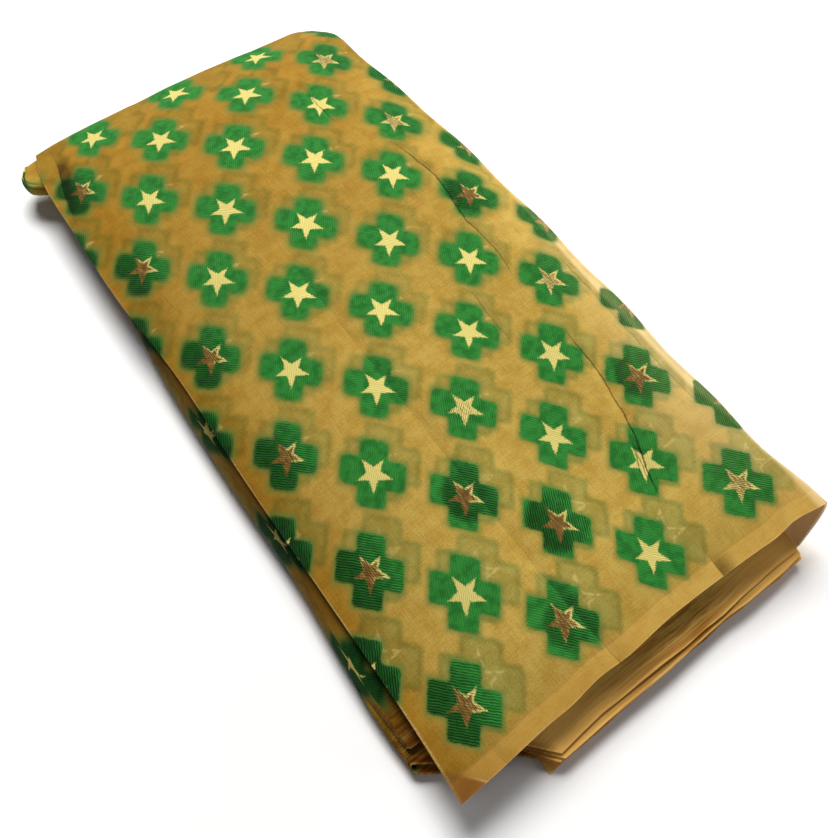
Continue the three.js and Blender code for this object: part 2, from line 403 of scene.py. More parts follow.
def near_edge(panel, x):
    if panel == 0:
        return read(TOP_EDGE, x, "y", "x")
    edge = PANELS[panel].near + PANELS[panel].setback * (1 - smoothstep(x, DRAWN_IN[1], DRAWN_IN[0]))
    if panel >= FIRST_CUT_PANEL:
        edge = edge + CORNER_CUT * (1 - smoothstep(x, *CORNER_CUT_PLACES))
    return edge


def far_edge(panel, x):
    return PANELS[panel].far - FAR_ROUND * np.abs((x - FAR_MIDDLE) / FAR_HALF_WIDTH) ** FAR_POWER


def fold_shape(fold, section):
    """Which side a fold is on, how far it stands out, and where it leaves its two panels."""
    side = 1 if fold % 2 == 0 else -1
    tip = read(SIDES, section, f"fold{fold + 1}")
    if fold == 0:
        past_cross = section + PATTERN_START[1] - RIM_CROSS
        tip = tip + RIM_WAVE * np.cos(2 * math.pi * past_cross / RIM_REPEAT)
    if fold == 1:
        tip = tip - LOBE_REACH * smoothstep(section, *LOBE_OPENS) * (1 - smoothstep(section, *LOBE_CLOSES))
    gap = panel_height(fold, tip, section) - panel_height(fold + 1, tip, section)
    tuck = read(SIDES, section, "tuck") if fold == 0 else 0
    bulge = np.clip(gap * BULGE_SHARE, BULGE_LEAST, BULGE_MOST) - tuck * BULGE_SPARED
    above = tip - side * bulge
    return side, bulge, above, above - side * tuck


def panel_surface(panel, t, v):
    """The middle surface of a panel, at t across it and v along it."""
    section = lerp(PACKET_NEAR, PACKET_FAR, v)
    start = read(SIDES, section, "top") if panel == 0 else fold_shape(panel - 1, section)[3]
    end = read(SIDES, section, "inner") if panel == LAST else fold_shape(panel, section)[2]
    x = lerp(start, end, t)
    y = lerp(near_edge(panel, x), far_edge(panel, x), v)
    return np.stack([x, y, panel_height(panel, x, y)], axis=-1)


def fold_surface(fold, t, v):
    """The middle surface of a fold, at t round it and v along it."""
    section = lerp(PACKET_NEAR, PACKET_FAR, v)
    side, bulge, above, below = fold_shape(fold, section)
    upper_y = lerp(near_edge(fold, above), far_edge(fold, above), v)
    lower_y = lerp(near_edge(fold + 1, below), far_edge(fold + 1, below), v)
    upper = panel_height(fold, above, upper_y)
    lower = panel_height(fold + 1, below, lower_y)
    x = lerp(above, below, t) + side * bulge * np.sin(math.pi * t)
    z = lerp(upper, lower, (1 - np.cos(math.pi * t)) / 2)
    if fold == 1:
        hang = np.sin(math.pi * t)
        lower_half = np.clip(-np.cos(math.pi * t), 0, 1)
        open_end = smoothstep(section, *SWELL_OPENS) * (1 - SWELL_CLOSED * smoothstep(section, *SWELL_CLOSES))
        x = x + side * hang * read(DROOP, section, "out")
        z = z - hang * read(DROOP, section, "down")
        z = z - LOBE_SWELL * open_end * hang * lower_half
    return np.stack([x, lerp(upper_y, lower_y, t), z], axis=-1)


def middle_surface():
    """The whole cloth's middle surface: places[column, row], and the panel that each column is of."""
    parts = []
    panel_of = []
    v = np.linspace(0, 1, ROWS)[None, :]
    for panel, sizes in enumerate(PANELS):
        t = np.linspace(0, 1, sizes.steps + 1)[:, None] + 0 * v
        parts.append(panel_surface(panel, t, v + 0 * t))
        panel_of += [panel] * (sizes.steps + 1)
        if panel < LAST:
            t = np.linspace(0, 1, FOLD_STEPS + 1)[1:-1, None] + 0 * v
            parts.append(fold_surface(panel, t, v + 0 * t))
            panel_of += [panel + 0.5] * (FOLD_STEPS - 1)
    return np.concatenate(parts), np.array(panel_of)


def unit(vectors):
    return vectors / np.linalg.norm(vectors, axis=-1, keepdims=True)


def uneven(across, along, size, seed):
    """Smooth chance heights between -1 and 1, that change over patches of one size."""
    heights = np.random.default_rng(seed).uniform(-1, 1, (CHANCE_TABLE, CHANCE_TABLE))
    u, v = across / size + CHANCE_START, along / size + CHANCE_START
    i, j = np.floor(u).astype(int), np.floor(v).astype(int)
    u, v = smoothstep(u - i, 0, 1), smoothstep(v - j, 0, 1)
    i, j = i % (CHANCE_TABLE - 1), j % (CHANCE_TABLE - 1)
    near = lerp(heights[i, j], heights[i + 1, j], u)
    far = lerp(heights[i, j + 1], heights[i + 1, j + 1], u)
    return lerp(near, far, v)


def waves(rows, across, along):
    return sum(wave.height * uneven(across, along, wave.size, wave.seed) for wave in rows)


def slid(rows, across, along):
    """How far the pattern has slid, at places on the cloth."""
    columns = [read(rows, along, column, "along") for column in rows[0]._fields[1:]]
    return smooth_through(SLIDE_PLACES, columns, across)


def gold_glow(across, along):
    """How much the gold thread shines, from 0 to 1."""
    glow = read(GLOW, across, "glow", "across")
    for dull in DULL_PLACES:
        far = np.hypot(across - dull.across, along - dull.along) / dull.reach
        glow = lerp(np.minimum(glow, dull.glow), glow, smoothstep(far, *DULL_EDGE))
    return glow


def crease_state(across, along):
    """The distance to the nearest crease in mm, and its strength and one-sided shade there."""
    nearest = np.full(across.shape, NO_CREASE)
    strength = np.zeros(across.shape)
    pressed = np.zeros(across.shape)
    for points in CREASES.values():
        points = sorted(points, key=lambda point: point.along)
        distance = across - read(points, along, "across", "along")
        inside = (along > points[0].along) & (along < points[-1].along)
        closer = inside & (np.abs(distance) < np.abs(nearest))
        nearest = np.where(closer, distance, nearest)
        strength = np.where(closer, np.clip(read(points, along, "strength", "along"), 0, None), strength)
        pressed = np.where(closer, np.clip(read(points, along, "pressed", "along"), 0, None), pressed)
    return nearest, strength, pressed


def edge_play(panel_of, ply, x):
    """How far each ply's near edge stands out and lifts: no two edges lie quite alike."""
    is_top = panel_of < 0.5
    layer = PANEL_APART * panel_of + PLY_APART * ply
    out = waves(EDGE_OUT, x, layer) * (1 + LOOSE_CORNER * (1 - smoothstep(x, *LOOSE_PLACES)))
    up = waves(EDGE_UP, x, layer + WAY_APART)
    step = PLY_STEP * np.cos(math.pi * (panel_of + ply))
    return np.where(is_top, TOP_OUT * out, out + step), np.where(is_top, TOP_UP * up, up)


def pattern_places(middle, run, panel_column, is_top):
    """Places on the cloth, across and along: drawn straight, and as its pattern has slid.

    They follow the plan on the top panel, and past it the cloth itself.
    """
    top_end = PANELS[0].steps
    across = middle[..., 0] + PATTERN_START[0]
    along = middle[..., 1] + PATTERN_START[1]
    across = np.where(is_top, across, across[top_end] + (run - run[top_end])[:, None])
    hidden = smoothstep(panel_column, *HIDDEN_FROM)
    slid_across = across - slid(SLID_ACROSS, across, along) + hidden * HIDDEN_SLIP[0]
    slid_along = along - slid(SLID_ALONG, across, along) - hidden * HIDDEN_SLIP[1]
    return across, along, slid_across, slid_along


def top_relief(across, along, from_edge, crease):
    """How far the top panel is pressed in, by its creases and its low unevenness."""
    distance, strength, pressed = crease
    trough = strength * np.exp(-((distance / TROUGH_WIDTH) ** 2))
    trough = trough + PRESSED_DEPTH * pressed * np.exp(-((distance / PRESSED_WIDTH) ** 2))
    return trough - waves(LOW_WAVES, across, along) * smoothstep(from_edge, 0, FLAT_EDGE)


def both_plies(on_outer, on_inner):
    """One number for each point, from those of the outer ply and of the inner one below it."""
    on_inner = on_inner[:, ::-1]
    on_rim = lerp(on_outer[:, -1:], on_inner[:, :1], RIM_SHARES[None, :])
    return np.concatenate([on_outer, on_rim, on_inner], axis=1)


def cloth_grid():
    """Both plies as one grid of columns across the packet and rows along the cloth's width.

    It gives the grid's points, a name table of what the material needs at each of them, and how
    far each column has run along the cloth.
    """
    middle, panel_of = middle_surface()
    run = np.linalg.norm(np.diff(middle, axis=0), axis=-1).mean(axis=1)
    run = np.concatenate([[0], np.cumsum(run)])
    panel_column = panel_of[:, None]
    is_top = (np.arange(len(run)) <= PANELS[0].steps)[:, None]
    straight_across, straight_along, across, along = pattern_places(middle, run, panel_column, is_top)

    # the relief of the top panel
    normal = unit(np.cross(np.gradient(middle, axis=0), np.gradient(middle, axis=1)))
    distance, strength, pressed = crease_state(straight_across, straight_along)
    distance = np.where(is_top, distance, NO_CREASE)
    from_edge = middle[..., 1] - middle[:, :1, 1]
    relief = top_relief(straight_across, straight_along, from_edge, (distance, strength, pressed))
    middle = middle - normal * np.where(is_top, relief, 0)[..., None]

    # the two plies, each with its edge's own play
    at_edge = 1 - smoothstep(from_edge, 0, EDGE_REACH)
    half = PLY_SHARE * DOUBLED_THICKNESS
    parted = (half * (1 - PLY_CLOSER * at_edge))[..., None]
    outer = middle + normal * parted
    inner = middle - normal * parted
    for ply, surface in enumerate((outer, inner)):
        out, up = edge_play(panel_column, ply, surface[..., 0])
        surface[..., 1] -= out * at_edge
        surface[..., 2] = np.maximum(surface[..., 2] + up * at_edge, LEAST_HEIGHT)

    # the fold that doubles the cloth joins them
    end = middle[:, -1]
    outward = unit(end - middle[:, -2])
    up = normal[:, -1]
    rim = [end + half * (up * math.cos(a) + outward * math.sin(a)) for a in math.pi * RIM_SHARES]
    points = np.concatenate([outer, np.stack(rim, axis=1), inner[:, ::-1]], axis=1)

    everywhere = np.ones_like(across)
    panel = panel_column * everywhere
    past_edge = read(SIDES, middle[..., 1], "top") - middle[..., 0]
    inner_across = across + read(PLY_SLIP, along, "across", "along")
    inner_along = 2 * DOUBLING_LINE - along
    inner_glow = np.where(panel < LAST_GLOWING, *INNER_GLOW)
    state = {
        "across": (across, inner_across),
        "along": (along, inner_along),
        "under_across": (inner_across, across),
        "under_along": (inner_along, along),
        "margin": (from_edge, from_edge),
        "is_inner": (0 * everywhere, everywhere),
        "panel": (panel, panel),
        "glow": (gold_glow(across, along), inner_glow),
        "crease": (distance, NO_CREASE * everywhere),
        "crease_strength": (strength, 0 * everywhere),
        "crease_side": (pressed, 0 * everywhere),
        "past_edge": (past_edge, past_edge),
        "packet_x": (middle[..., 0], middle[..., 0]),
        "packet_y": (middle[..., 1], middle[..., 1]),
    }
    state = {name: both_plies(*values) for name, values in state.items()}
    return points, state, run


def mesh_object(name, points, faces):
    mesh = bpy.data.meshes.new(name)
    mesh.from_pydata(points.tolist(), [], faces.tolist())
    mesh.update()
    piece = bpy.data.objects.new(name, mesh)
    bpy.context.collection.objects.link(piece)
    return piece


def grid_faces(columns, rows):
    corner = (np.arange(columns - 1)[:, None] * rows + np.arange(rows - 1)[None, :]).ravel()
    return np.stack([corner, corner + rows, corner + rows + 1, corner + 1], axis=-1)


def add_vector_attribute(mesh, name, *values):
    attribute = mesh.attributes.new(name, "FLOAT_VECTOR", "POINT")
    attribute.data.foreach_set("vector", np.stack(values, axis=-1).astype(np.float32).ravel())


def brought_in(state, amount, **places):
    """An amount that comes in from one place to another, in each direction that is named."""
    for direction, (start, end) in places.items():
        amount = amount * smoothstep(state[direction], start, end)
    return amount


def tone_light_and_shade(state):
    """From -1, painted light through the cloth, to 0, pale, to 1, deep mustard that is partly painted shade,
    and to 3, the painted shade between the panels.
    """
    # the outer ply of the top panel
    top = np.interp(state["along"], *TONE_ALONG)
    top = top + brought_in(state, **LEFT_TONE) + brought_in(state, **NEAR_LEFT_TONE)
    top = np.clip(top, 0, 1)
    top = top + brought_in(state, **LEFT_STRIP_SHADE) + brought_in(state, **RIGHT_SIDE_LIGHT)
    past_rim = state["packet_x"] - np.interp(state["along"], *RIM_LINE)
    top = top - smoothstep(past_rim, 0, RIM_SOFTNESS) * brought_in(state, **RIM_LIGHT)

    # its inner ply, seen from below where the open end lifts
    inner = lerp(*INNER_SHADE_AND_LIGHT, smoothstep(state["packet_x"], *INNER_PLACES))
    top = np.where(state["is_inner"] > 0.5, inner, top)

    # the panels below it: painted shade between them, painted light in the mouth, and deeper painted shade
    # beside the top panel's cut edge
    mouth = np.interp(state["packet_x"], *MOUTH_LIGHT)
    between = lerp(BETWEEN_SHADE, mouth, brought_in(state, **MOUTH_REACH))
    between = lerp(between, FAR_TONE, smoothstep(state["packet_y"], *FAR_TONE_PLACES))
    second_panel = (state["panel"] > 0.9) & (state["panel"] < 1.9)
    beside_top = second_panel * smoothstep(state["past_edge"], *BESIDE_TOP_ENDS)
    between = between + beside_top * brought_in(state, **BESIDE_TOP_SHADE)
    past_fold = state["panel"] + RIGHT_FOLD_SOONER * (state["packet_x"] > RIGHT_FOLD_FROM)
    return lerp(top, between, smoothstep(past_fold, *TOP_ENDS))


def ghost_strength(state):
    """How clearly the ply below shows through: best near the packet's open end."""
    return np.interp(state["along"], *GHOST_ALONG)


class Nodes:
    """A short way to write a material's or a group's nodes and links."""

    def __init__(self, tree):
        self.tree = tree

    def add(self, kind, inputs=(), **settings):
        node = self.tree.nodes.new(kind)
        for key, value in settings.items():
            setattr(node, key, value)
        for key, value in dict(inputs).items():
            self.plug(value, node.inputs[key])
        return node

    def plug(self, value, socket):
        if isinstance(value, bpy.types.NodeSocket):
            self.tree.links.new(value, socket)
        else:
            socket.default_value = value

    def math(self, operation, a, b=0.0, c=0.0):
        node = self.add("ShaderNodeMath", {0: a, 1: b, 2: c}, operation=operation)
        return node.outputs[0]

    def chain(self, operation, values):
        result, *others = values
        for value in others:
            result = self.math(operation, result, value)
        return result

    def plus(self, *values):
        return self.chain("ADD", values)

    def times(self, *values):
        return self.chain("MULTIPLY", values)

    def largest(self, *values):
        return self.chain("MAXIMUM", values)

    def minus(self, a, b):
        return self.math("SUBTRACT", a, b)

    def either_way(self, value):
        return self.math("ABSOLUTE", value)

    def ramp(self, value, low, high):
        """0 at low, 1 at high, and smooth between them. High can be the smaller one."""
        node = self.add("ShaderNodeMapRange", {0: value, 1: low, 2: high}, interpolation_type="SMOOTHSTEP")
        return node.outputs[0]

    def mix(self, factor, a, b):
        """A mix of two numbers."""
        return self.add("ShaderNodeMix", {0: factor, 2: a, 3: b}, data_type="FLOAT").outputs[0]

    def blend(self, factor, a, b, how="MIX"):
        """A mix of two colours."""
        node = self.add("ShaderNodeMix", {0: factor, 6: a, 7: b}, data_type="RGBA", blend_type=how)
        return node.outputs[2]

    def join(self, x, y, z=0.0):
        return self.add("ShaderNodeCombineXYZ", {0: x, 1: y, 2: z}).outputs[0]

    def split(self, vector):
        return self.add("ShaderNodeSeparateXYZ", {0: vector}).outputs

    def vector(self, operation, a, b):
        return self.add("ShaderNodeVectorMath", {0: a, 1: b}, operation=operation).outputs["Vector"]

    def dot(self, a, b):
        return self.add("ShaderNodeVectorMath", {0: a, 1: b}, operation="DOT_PRODUCT").outputs["Value"]

    def noise(self, vector, scale, detail=2.0, roughness=0.5, output="Fac"):
        inputs = {"Vector": vector, "Scale": scale, "Detail": detail, "Roughness": roughness}
        return self.add("ShaderNodeTexNoise", inputs).outputs[output]


def new_group(name, inputs, outputs):
    """An empty node group with named number and vector sockets."""
    group = bpy.data.node_groups.new(name, "ShaderNodeTree")
    kinds = {"number": "NodeSocketFloat", "vector": "NodeSocketVector"}
    for socket, kind in inputs.items():
        group.interface.new_socket(socket, in_out="INPUT", socket_type=kinds[kind])
    for socket, kind in outputs.items():
        group.interface.new_socket(socket, in_out="OUTPUT", socket_type=kinds[kind])
    nodes = Nodes(group)
    return group, nodes, nodes.add("NodeGroupInput").outputs, nodes.add("NodeGroupOutput").inputs


def linear(hex_colour):
    """A colour as it is seen, such as c3a04e, as the renderer's own numbers."""
    values = [int(hex_colour[i : i + 2], 16) / 255 for i in (0, 2, 4)]
    values = [v / 12.92 if v <= 0.04045 else ((v + 0.055) / 1.055) ** 2.4 for v in values]
    return (*values, 1.0)


# What the cloth's own colours are painted over or multiplied with: colours as they are seen, and
# shades as the renderer's own numbers. Some are painted light and shade: the edge highlights, the
# lit rim and mouth, the shade behind and between the lower panels' edges, the shaded greens, the
# crease lines, the shade beside a pressed fold, and the deep and deepest shade between the panels
PAINT_CODES = {
    "thin ground": "e4d8b6", "woven edge": "d0a050", "hem": "b89a70", "lower edge": "ecc888",
    "shade behind the lower edges": "c8a070", "layer_shade": "c89c68", "painted edge highlight": "f4dca0", "turned fold": "e8cc90",
    "gold below": "e4cc7c", "halo": "5a7634", "uneven green": "c8d8c8", "shaded green": "b0b49c",
    "green in shade below": "98a49c", "bright gold": "e4dcc0", "dull gold": "b0a898", "wrong side": "3d7d3a",
    "lit rim": "f8dea4", "lit mouth": "ffca6c",
}
SHADES = {
    "turned corner": (0.66, 0.5, 0.4, 1),
    "cross below": (0.72, 0.87, 0.91, 1),
    "outline below": (0.6, 0.74, 0.66, 1),
    "crease": (0.12, 0.09, 0.04, 1),
    "pressed fold": (0.35, 0.33, 0.3, 1),
    "deep": (0.48, 0.45, 0.4, 1),
    "deepest": (0.2, 0.16, 0.1, 1),
}
PAINTS = {name: linear(code) for name, code in PAINT_CODES.items()} | SHADES


def colour_property(name, description, hex_colour):
    return bpy.props.FloatVectorProperty(
        name=name, description=description, default=linear(hex_colour), size=4, subtype="COLOR", min=0, max=1
    )


class ClothPacketSettings(bpy.types.PropertyGroup):
    repeat_across: bpy.props.FloatProperty(
        name="Repeat across",
        description="From a column of crosses to the next but one, in millimetres",
        default=72.3,
    )
    repeat_along: bpy.props.FloatProperty(
        name="Repeat along",
        description="From one cross to the next in a column, in millimetres",
        default=90.0,
    )
    ground: colour_property("Ground", "The sheer mustard ground", "cbad56")
    # the deep ground also stands for painted shade, on the top panel's left side and between the panels
    deep_and_shaded_ground: colour_property("Deep ground", "The ground where plies lie close", "ab8128")
    cross: colour_property("Cross", "The green of the woven crosses", "308434")
    cross_shade: colour_property("Cross shade", "The dark lines between the crosses' ribs", "123f14")
    star: colour_property("Star", "The gold thread where it catches the light", "d8cc7c")
    star_shade: colour_property("Star shade", "The gold thread where it is turned away", "80602a")


def arm(n, place, tip, middle, half_width):
    """A tapering arm of the star, from its middle to its tip: a number below 0 inside it."""
    reach = (tip[0] - middle[0], tip[1] - middle[1])
    length = math.hypot(*reach)
    ahead = (reach[0] / length, reach[1] / length)
    start = ahead[0] * middle[0] + ahead[1] * middle[1]
    aside = ahead[0] * middle[1] - ahead[1] * middle[0]
    along = n.dot(place, (*ahead, -start))
    across = n.dot(place, (-ahead[1], ahead[0], -aside))
    slant = math.hypot(1, half_width / length)
    out = n.math("MULTIPLY_ADD", along, half_width / length / slant, -half_width / slant)
    side = n.math("MULTIPLY_ADD", n.either_way(across), 1 / slant, out)
    return n.largest(side, n.minus(-STAR_BACK, along))


def pattern_group(settings):
    """The woven pattern: its crosses, stars and threads, from a place on the cloth in mm.

    Cross and Star are distances in mm from their edges, below 0 inside.
    """
    group, n, given, out = new_group(
        "woven pattern",
        {"Place": "vector", "Rounding": "number"},
        {"Cross": "number", "Star": "number", "Rib": "number", "Thread": "number", "Side": "number"},
    )
    x, y, _ = n.split(given["Place"])
    half_x, half_y = settings.repeat_across / 2, settings.repeat_along / 2
    even_x = n.math("WRAP", x, half_x, -half_x)
    even_y = n.math("WRAP", y, half_y, -half_y)
    odd_x = n.math("WRAP", n.plus(x, half_x), half_x, -half_x)
    odd_y = n.math("WRAP", n.plus(y, half_y), half_y, -half_y)
    far_x = n.math("DIVIDE", n.either_way(even_x), half_x)
    far_y = n.math("DIVIDE", n.either_way(even_y), half_y)
    odd = n.math("GREATER_THAN", n.plus(far_x, far_y), 1.0)
    local_x = n.mix(odd, even_x, odd_x)
    local_y = n.mix(odd, even_y, odd_y)

    # the cross stands on its corners: four square-ended arms along the cloth's diagonals
    squat_y = n.math("DIVIDE", local_y, CROSS_SQUAT)
    rising = n.either_way(n.times(n.plus(local_x, squat_y), math.sqrt(0.5)))
    falling = n.either_way(n.times(n.minus(local_x, squat_y), math.sqrt(0.5)))
    bars = []
    for lengthwise, crosswise in ((rising, falling), (falling, rising)):
        end = n.minus(lengthwise, CROSS_REACH)
        side = n.minus(crosswise, CROSS_ARM / 2)
        bars.append(n.math("SMOOTH_MAX", end, side, given["Rounding"]))
    cross = n.math("SMOOTH_MIN", *bars, CROSS_FILLET)

    # the star's edge goes in small steps, as the loom weaves it
    star_x = n.either_way(n.math("SNAP", n.plus(local_x, WEAVE_STEP / 2), WEAVE_STEP))
    star_y = n.math("SNAP", local_y, WEAVE_STEP)
    star_place = n.join(star_x, star_y, 1.0)
    top, side, leg = [arm(n, star_place, tip, STAR_MIDDLE, STAR_ARM) for tip in STAR_TIPS]
    star = n.math("MINIMUM", n.math("MINIMUM", top, side), leg)

    # ribs run one way in one column of crosses and the other way in the next
    ribs = [n.plus(n.times(local_x, way_x), n.times(local_y, way_y)) for way_x, way_y in RIB_WAYS]
    rib_place = n.mix(odd, *ribs)
    for name, pitch in (("Rib", RIB_PITCH), ("Thread", THREAD_PITCH)):
        wave = n.math("SINE", n.times(rib_place, 2 * math.pi / pitch))
        n.plug(n.ramp(wave, -0.9, 0.9), out[name])

    # the pattern stops short of both woven edges
    centre_y = n.minus(y, local_y)
    first = n.math("GREATER_THAN", centre_y, -PATTERN_ENDS)
    woven = n.times(first, n.math("LESS_THAN", centre_y, 2 * DOUBLING_LINE + PATTERN_ENDS))
    n.plug(n.mix(woven, NO_FIGURE, cross), out["Cross"])
    n.plug(n.mix(woven, NO_FIGURE, star), out["Star"])
    n.plug(n.times(local_x, 0.1), out["Side"])
    return group


class ClothNodes(Nodes):
    """The nodes of the cloth's material. Widths and distances in them are in mm on the cloth."""

    def __init__(self, tree, settings):
        super().__init__(tree)
        self.settings = settings
        self.x, self.y, self.margin = self.attribute("cloth_place")
        self.under_x, self.under_y, self.shows = self.attribute("cloth_under")
        # the glow is the gold thread's painted light; the depth runs from painted light through the cloth
        # below 0, through deep tone, to painted shade between the panels above 1
        self.is_inner, self.glow, self.depth = self.attribute("cloth_state")
        self.panel, self.from_cut, self.packet_y = self.attribute("cloth_panel")
        self.from_crease, self.crease, self.pressed = self.attribute("cloth_crease")
        self.place = self.join(self.x, self.y)
        self.grain = self.noise(self.place, 1.1, 2.0, 0.6)
        self.lower = self.math("GREATER_THAN", self.panel, 0.9)
        self.selvedge = self.ramp(self.margin, *SELVEDGE)
        self.own, self.under = self.patterns()

        # the right side's figures, with ragged edges: crosses, their soft halo, and stars
        ragged = self.math("MULTIPLY_ADD", self.noise(self.place, 0.9, 3.0, 0.7), 2.4, -1.2)
        cross_edge = self.plus(self.own["Cross"], self.times(ragged, 0.8))
        blurred = self.ramp(self.y, 60.0, 320.0)
        self.cross = self.ramp(cross_edge, self.mix(blurred, 0.9, 2.6), self.mix(blurred, -0.7, -1.4))
        self.halo = self.ramp(cross_edge, self.mix(blurred, 4.2, 6.2), -0.6)
        self.star_edge = self.plus(self.own["Star"], ragged)
        self.star = self.ramp(self.star_edge, 0.3, -0.3)

    def attribute(self, name):
        return self.split(self.add("ShaderNodeAttribute", attribute_name=name).outputs["Vector"])

    def stretched_noise(self, across, along, detail=2.0, roughness=0.5):
        place = self.vector("MULTIPLY", self.place, (across, along, 0))
        return self.noise(place, 1.0, detail, roughness)

    def paint(self, colour, share, name):
        return self.blend(share, colour, PAINTS[name])

    def darken(self, colour, share, name):
        return self.blend(share, colour, PAINTS[name], "MULTIPLY")

    def patterns(self):
        """The pattern of this ply and of the one below. Threads wander a little, and it goes with them."""
        wander = self.noise(self.place, 0.3, 3.0, output="Color")
        wander = self.vector("SUBTRACT", wander, (0.5, 0.5, 0.5))
        wander = self.vector("MULTIPLY", wander, (1.6, 1.6, 0))
        own_place = self.vector("ADD", self.place, wander)
        own_rounding = self.mix(self.ramp(self.y, 40.0, 260.0), *OWN_ROUNDING)
        mirrored = self.vector("MULTIPLY", wander, (1.5, -1.5, 0))
        under_place = self.vector("ADD", self.join(self.under_x, self.under_y), mirrored)
        woven = pattern_group(self.settings)
        both = []
        for place, rounding in ((own_place, own_rounding), (under_place, UNDER_ROUNDING)):
            given = {"Place": place, "Rounding": rounding}
            both.append(self.add("ShaderNodeGroup", given, node_tree=woven).outputs)
        return both


def sheer_ground(n):
    """The sheer ground: cloudy, with thicker threads both ways, and closer at the woven edges."""
    cloud = n.noise(n.place, 0.07, 5.0, 0.65)
    weft = n.stretched_noise(0.06, 1.3)
    warp = n.stretched_noise(1.3, 0.06)
    threads = n.times(n.plus(weft, warp), 0.16)
    uneven_ground = n.plus(n.times(cloud, 0.36), n.times(n.grain, 0.32), threads)
    # deeper where the plies lie close, and in the painted shade that the depth carries
    own_depth = n.math("MINIMUM", n.depth, 1.0)
    colour = n.blend(own_depth, n.settings.ground, n.settings.deep_and_shaded_ground)
    colour = n.darken(colour, n.ramp(uneven_ground, 0.58, 0.42), "thin ground")
    hem = n.times(n.selvedge, n.ramp(n.margin, *HEM))
    colour = n.paint(colour, n.times(n.selvedge, 0.35), "woven edge")
    return n.darken(colour, n.times(hem, 0.3), "hem")


def lit_and_shaded_edges(n, colour):
    """Painted highlights on the cut and woven edges, and painted shade behind those of the lower panels and
    between their layers.
    """
    # a painted highlight on the edges of the lower panels
    edge = n.times(n.ramp(n.margin, 1.0, 0.1), n.lower, 0.45)
    colour = n.paint(colour, edge, "lower edge")
    # a band of painted shade behind those edges
    band = n.times(n.ramp(n.margin, 1.0, 2.0), n.lower, n.ramp(n.margin, 6.0, 2.5))
    colour = n.darken(colour, band, "shade behind the lower edges")
    # dark lines of painted shade between the layers of the lower panels
    layer_shade = n.join(n.times(n.x, 0.03), n.times(n.packet_y, 0.8), n.panel)
    layer_shade = n.ramp(n.noise(layer_shade, 1.0, 3.0, 0.6), 0.56, 0.42)
    layer_shade = n.times(layer_shade, n.lower, n.ramp(n.margin, 40.0, 15.0))
    colour = n.darken(colour, layer_shade, "layer_shade")
    # a thin painted highlight along the top panel's own cut and woven edges
    top_edge = n.ramp(n.math("MINIMUM", n.margin, n.from_cut), 0.8, 0.1)
    top_edge = n.times(top_edge, n.math("LESS_THAN", n.panel, 0.3))
    top_edge = n.times(top_edge, n.mix(n.ramp(n.grain, 0.4, 0.6), 0.1, 0.34))
    return n.paint(colour, top_edge, "painted edge highlight")


def turned_corner(n, colour):
    """The corner that is turned under leaves only the ply below it, which is darker."""
    turn_x, turn_y = CORNER_TURN
    run_x, run_y = CORNER_RUN
    from_turn = n.math("MULTIPLY_ADD", n.x, -run_y, turn_x * run_y - turn_y * run_x)
    from_turn = n.math("MULTIPLY_ADD", n.y, run_x, from_turn)
    along_turn = n.math("MULTIPLY_ADD", n.x, run_x, -turn_x * run_x - turn_y * run_y)
    along_turn = n.math("MULTIPLY_ADD", n.y, run_y, along_turn)
    turned = n.times(n.ramp(from_turn, -1.0, 2.0), n.ramp(along_turn, 44.0, 6.0))
    colour = n.darken(colour, turned, "turned corner")
    line = n.times(n.ramp(n.either_way(from_turn), 0.8, 0.1), n.ramp(along_turn, 15.0, 0.0))
    return n.paint(colour, n.times(line, 0.45), "turned fold")


def ply_below(n, colour):
    """What shows through the ground: the crosses below, their darker edges and some of their gold."""
    cross_edge, star_edge = n.under["Cross"], n.under["Star"]
    inside = n.times(n.ramp(cross_edge, 5.0, 0.4), n.shows)
    colour = n.darken(colour, inside, "cross below")
    from_line = n.minus(cross_edge, 2.0)
    soft = n.mix(n.shows, 1.8, 0.9)
    sides = [n.ramp(from_line, n.times(soft, reach), 0.0) for reach in (-3.0, 3.0)]
    strength = n.mix(n.ramp(n.y, 280.0, 380.0), n.mix(n.shows, 0.25, 0.72), 0.6)
    colour = n.darken(colour, n.times(*sides, strength), "outline below")

    patchy = n.stretched_noise(0.2, 0.2, 3.0, 0.6)
    stroke = n.either_way(n.minus(star_edge, 0.8))
    stroke = n.times(n.ramp(stroke, 1.2, 0.2), n.ramp(patchy, 0.40, 0.5))
    strand = n.times(n.ramp(n.under["Thread"], 0.7, 1.0), n.ramp(star_edge, 0.0, -0.6))
    strand = n.times(strand, n.ramp(patchy, 0.52, 0.6))
    blob = n.times(n.ramp(star_edge, 1.2, -0.6), n.ramp(patchy, 0.45, 0.52))
    bits = n.mix(n.ramp(n.shows, 0.8, 1.0), blob, n.largest(stroke, strand))
    bits = n.times(bits, n.ramp(n.y, 470.0, 440.0), n.mix(n.shows, 0.7, 0.5))
    return n.paint(colour, bits, "gold below")


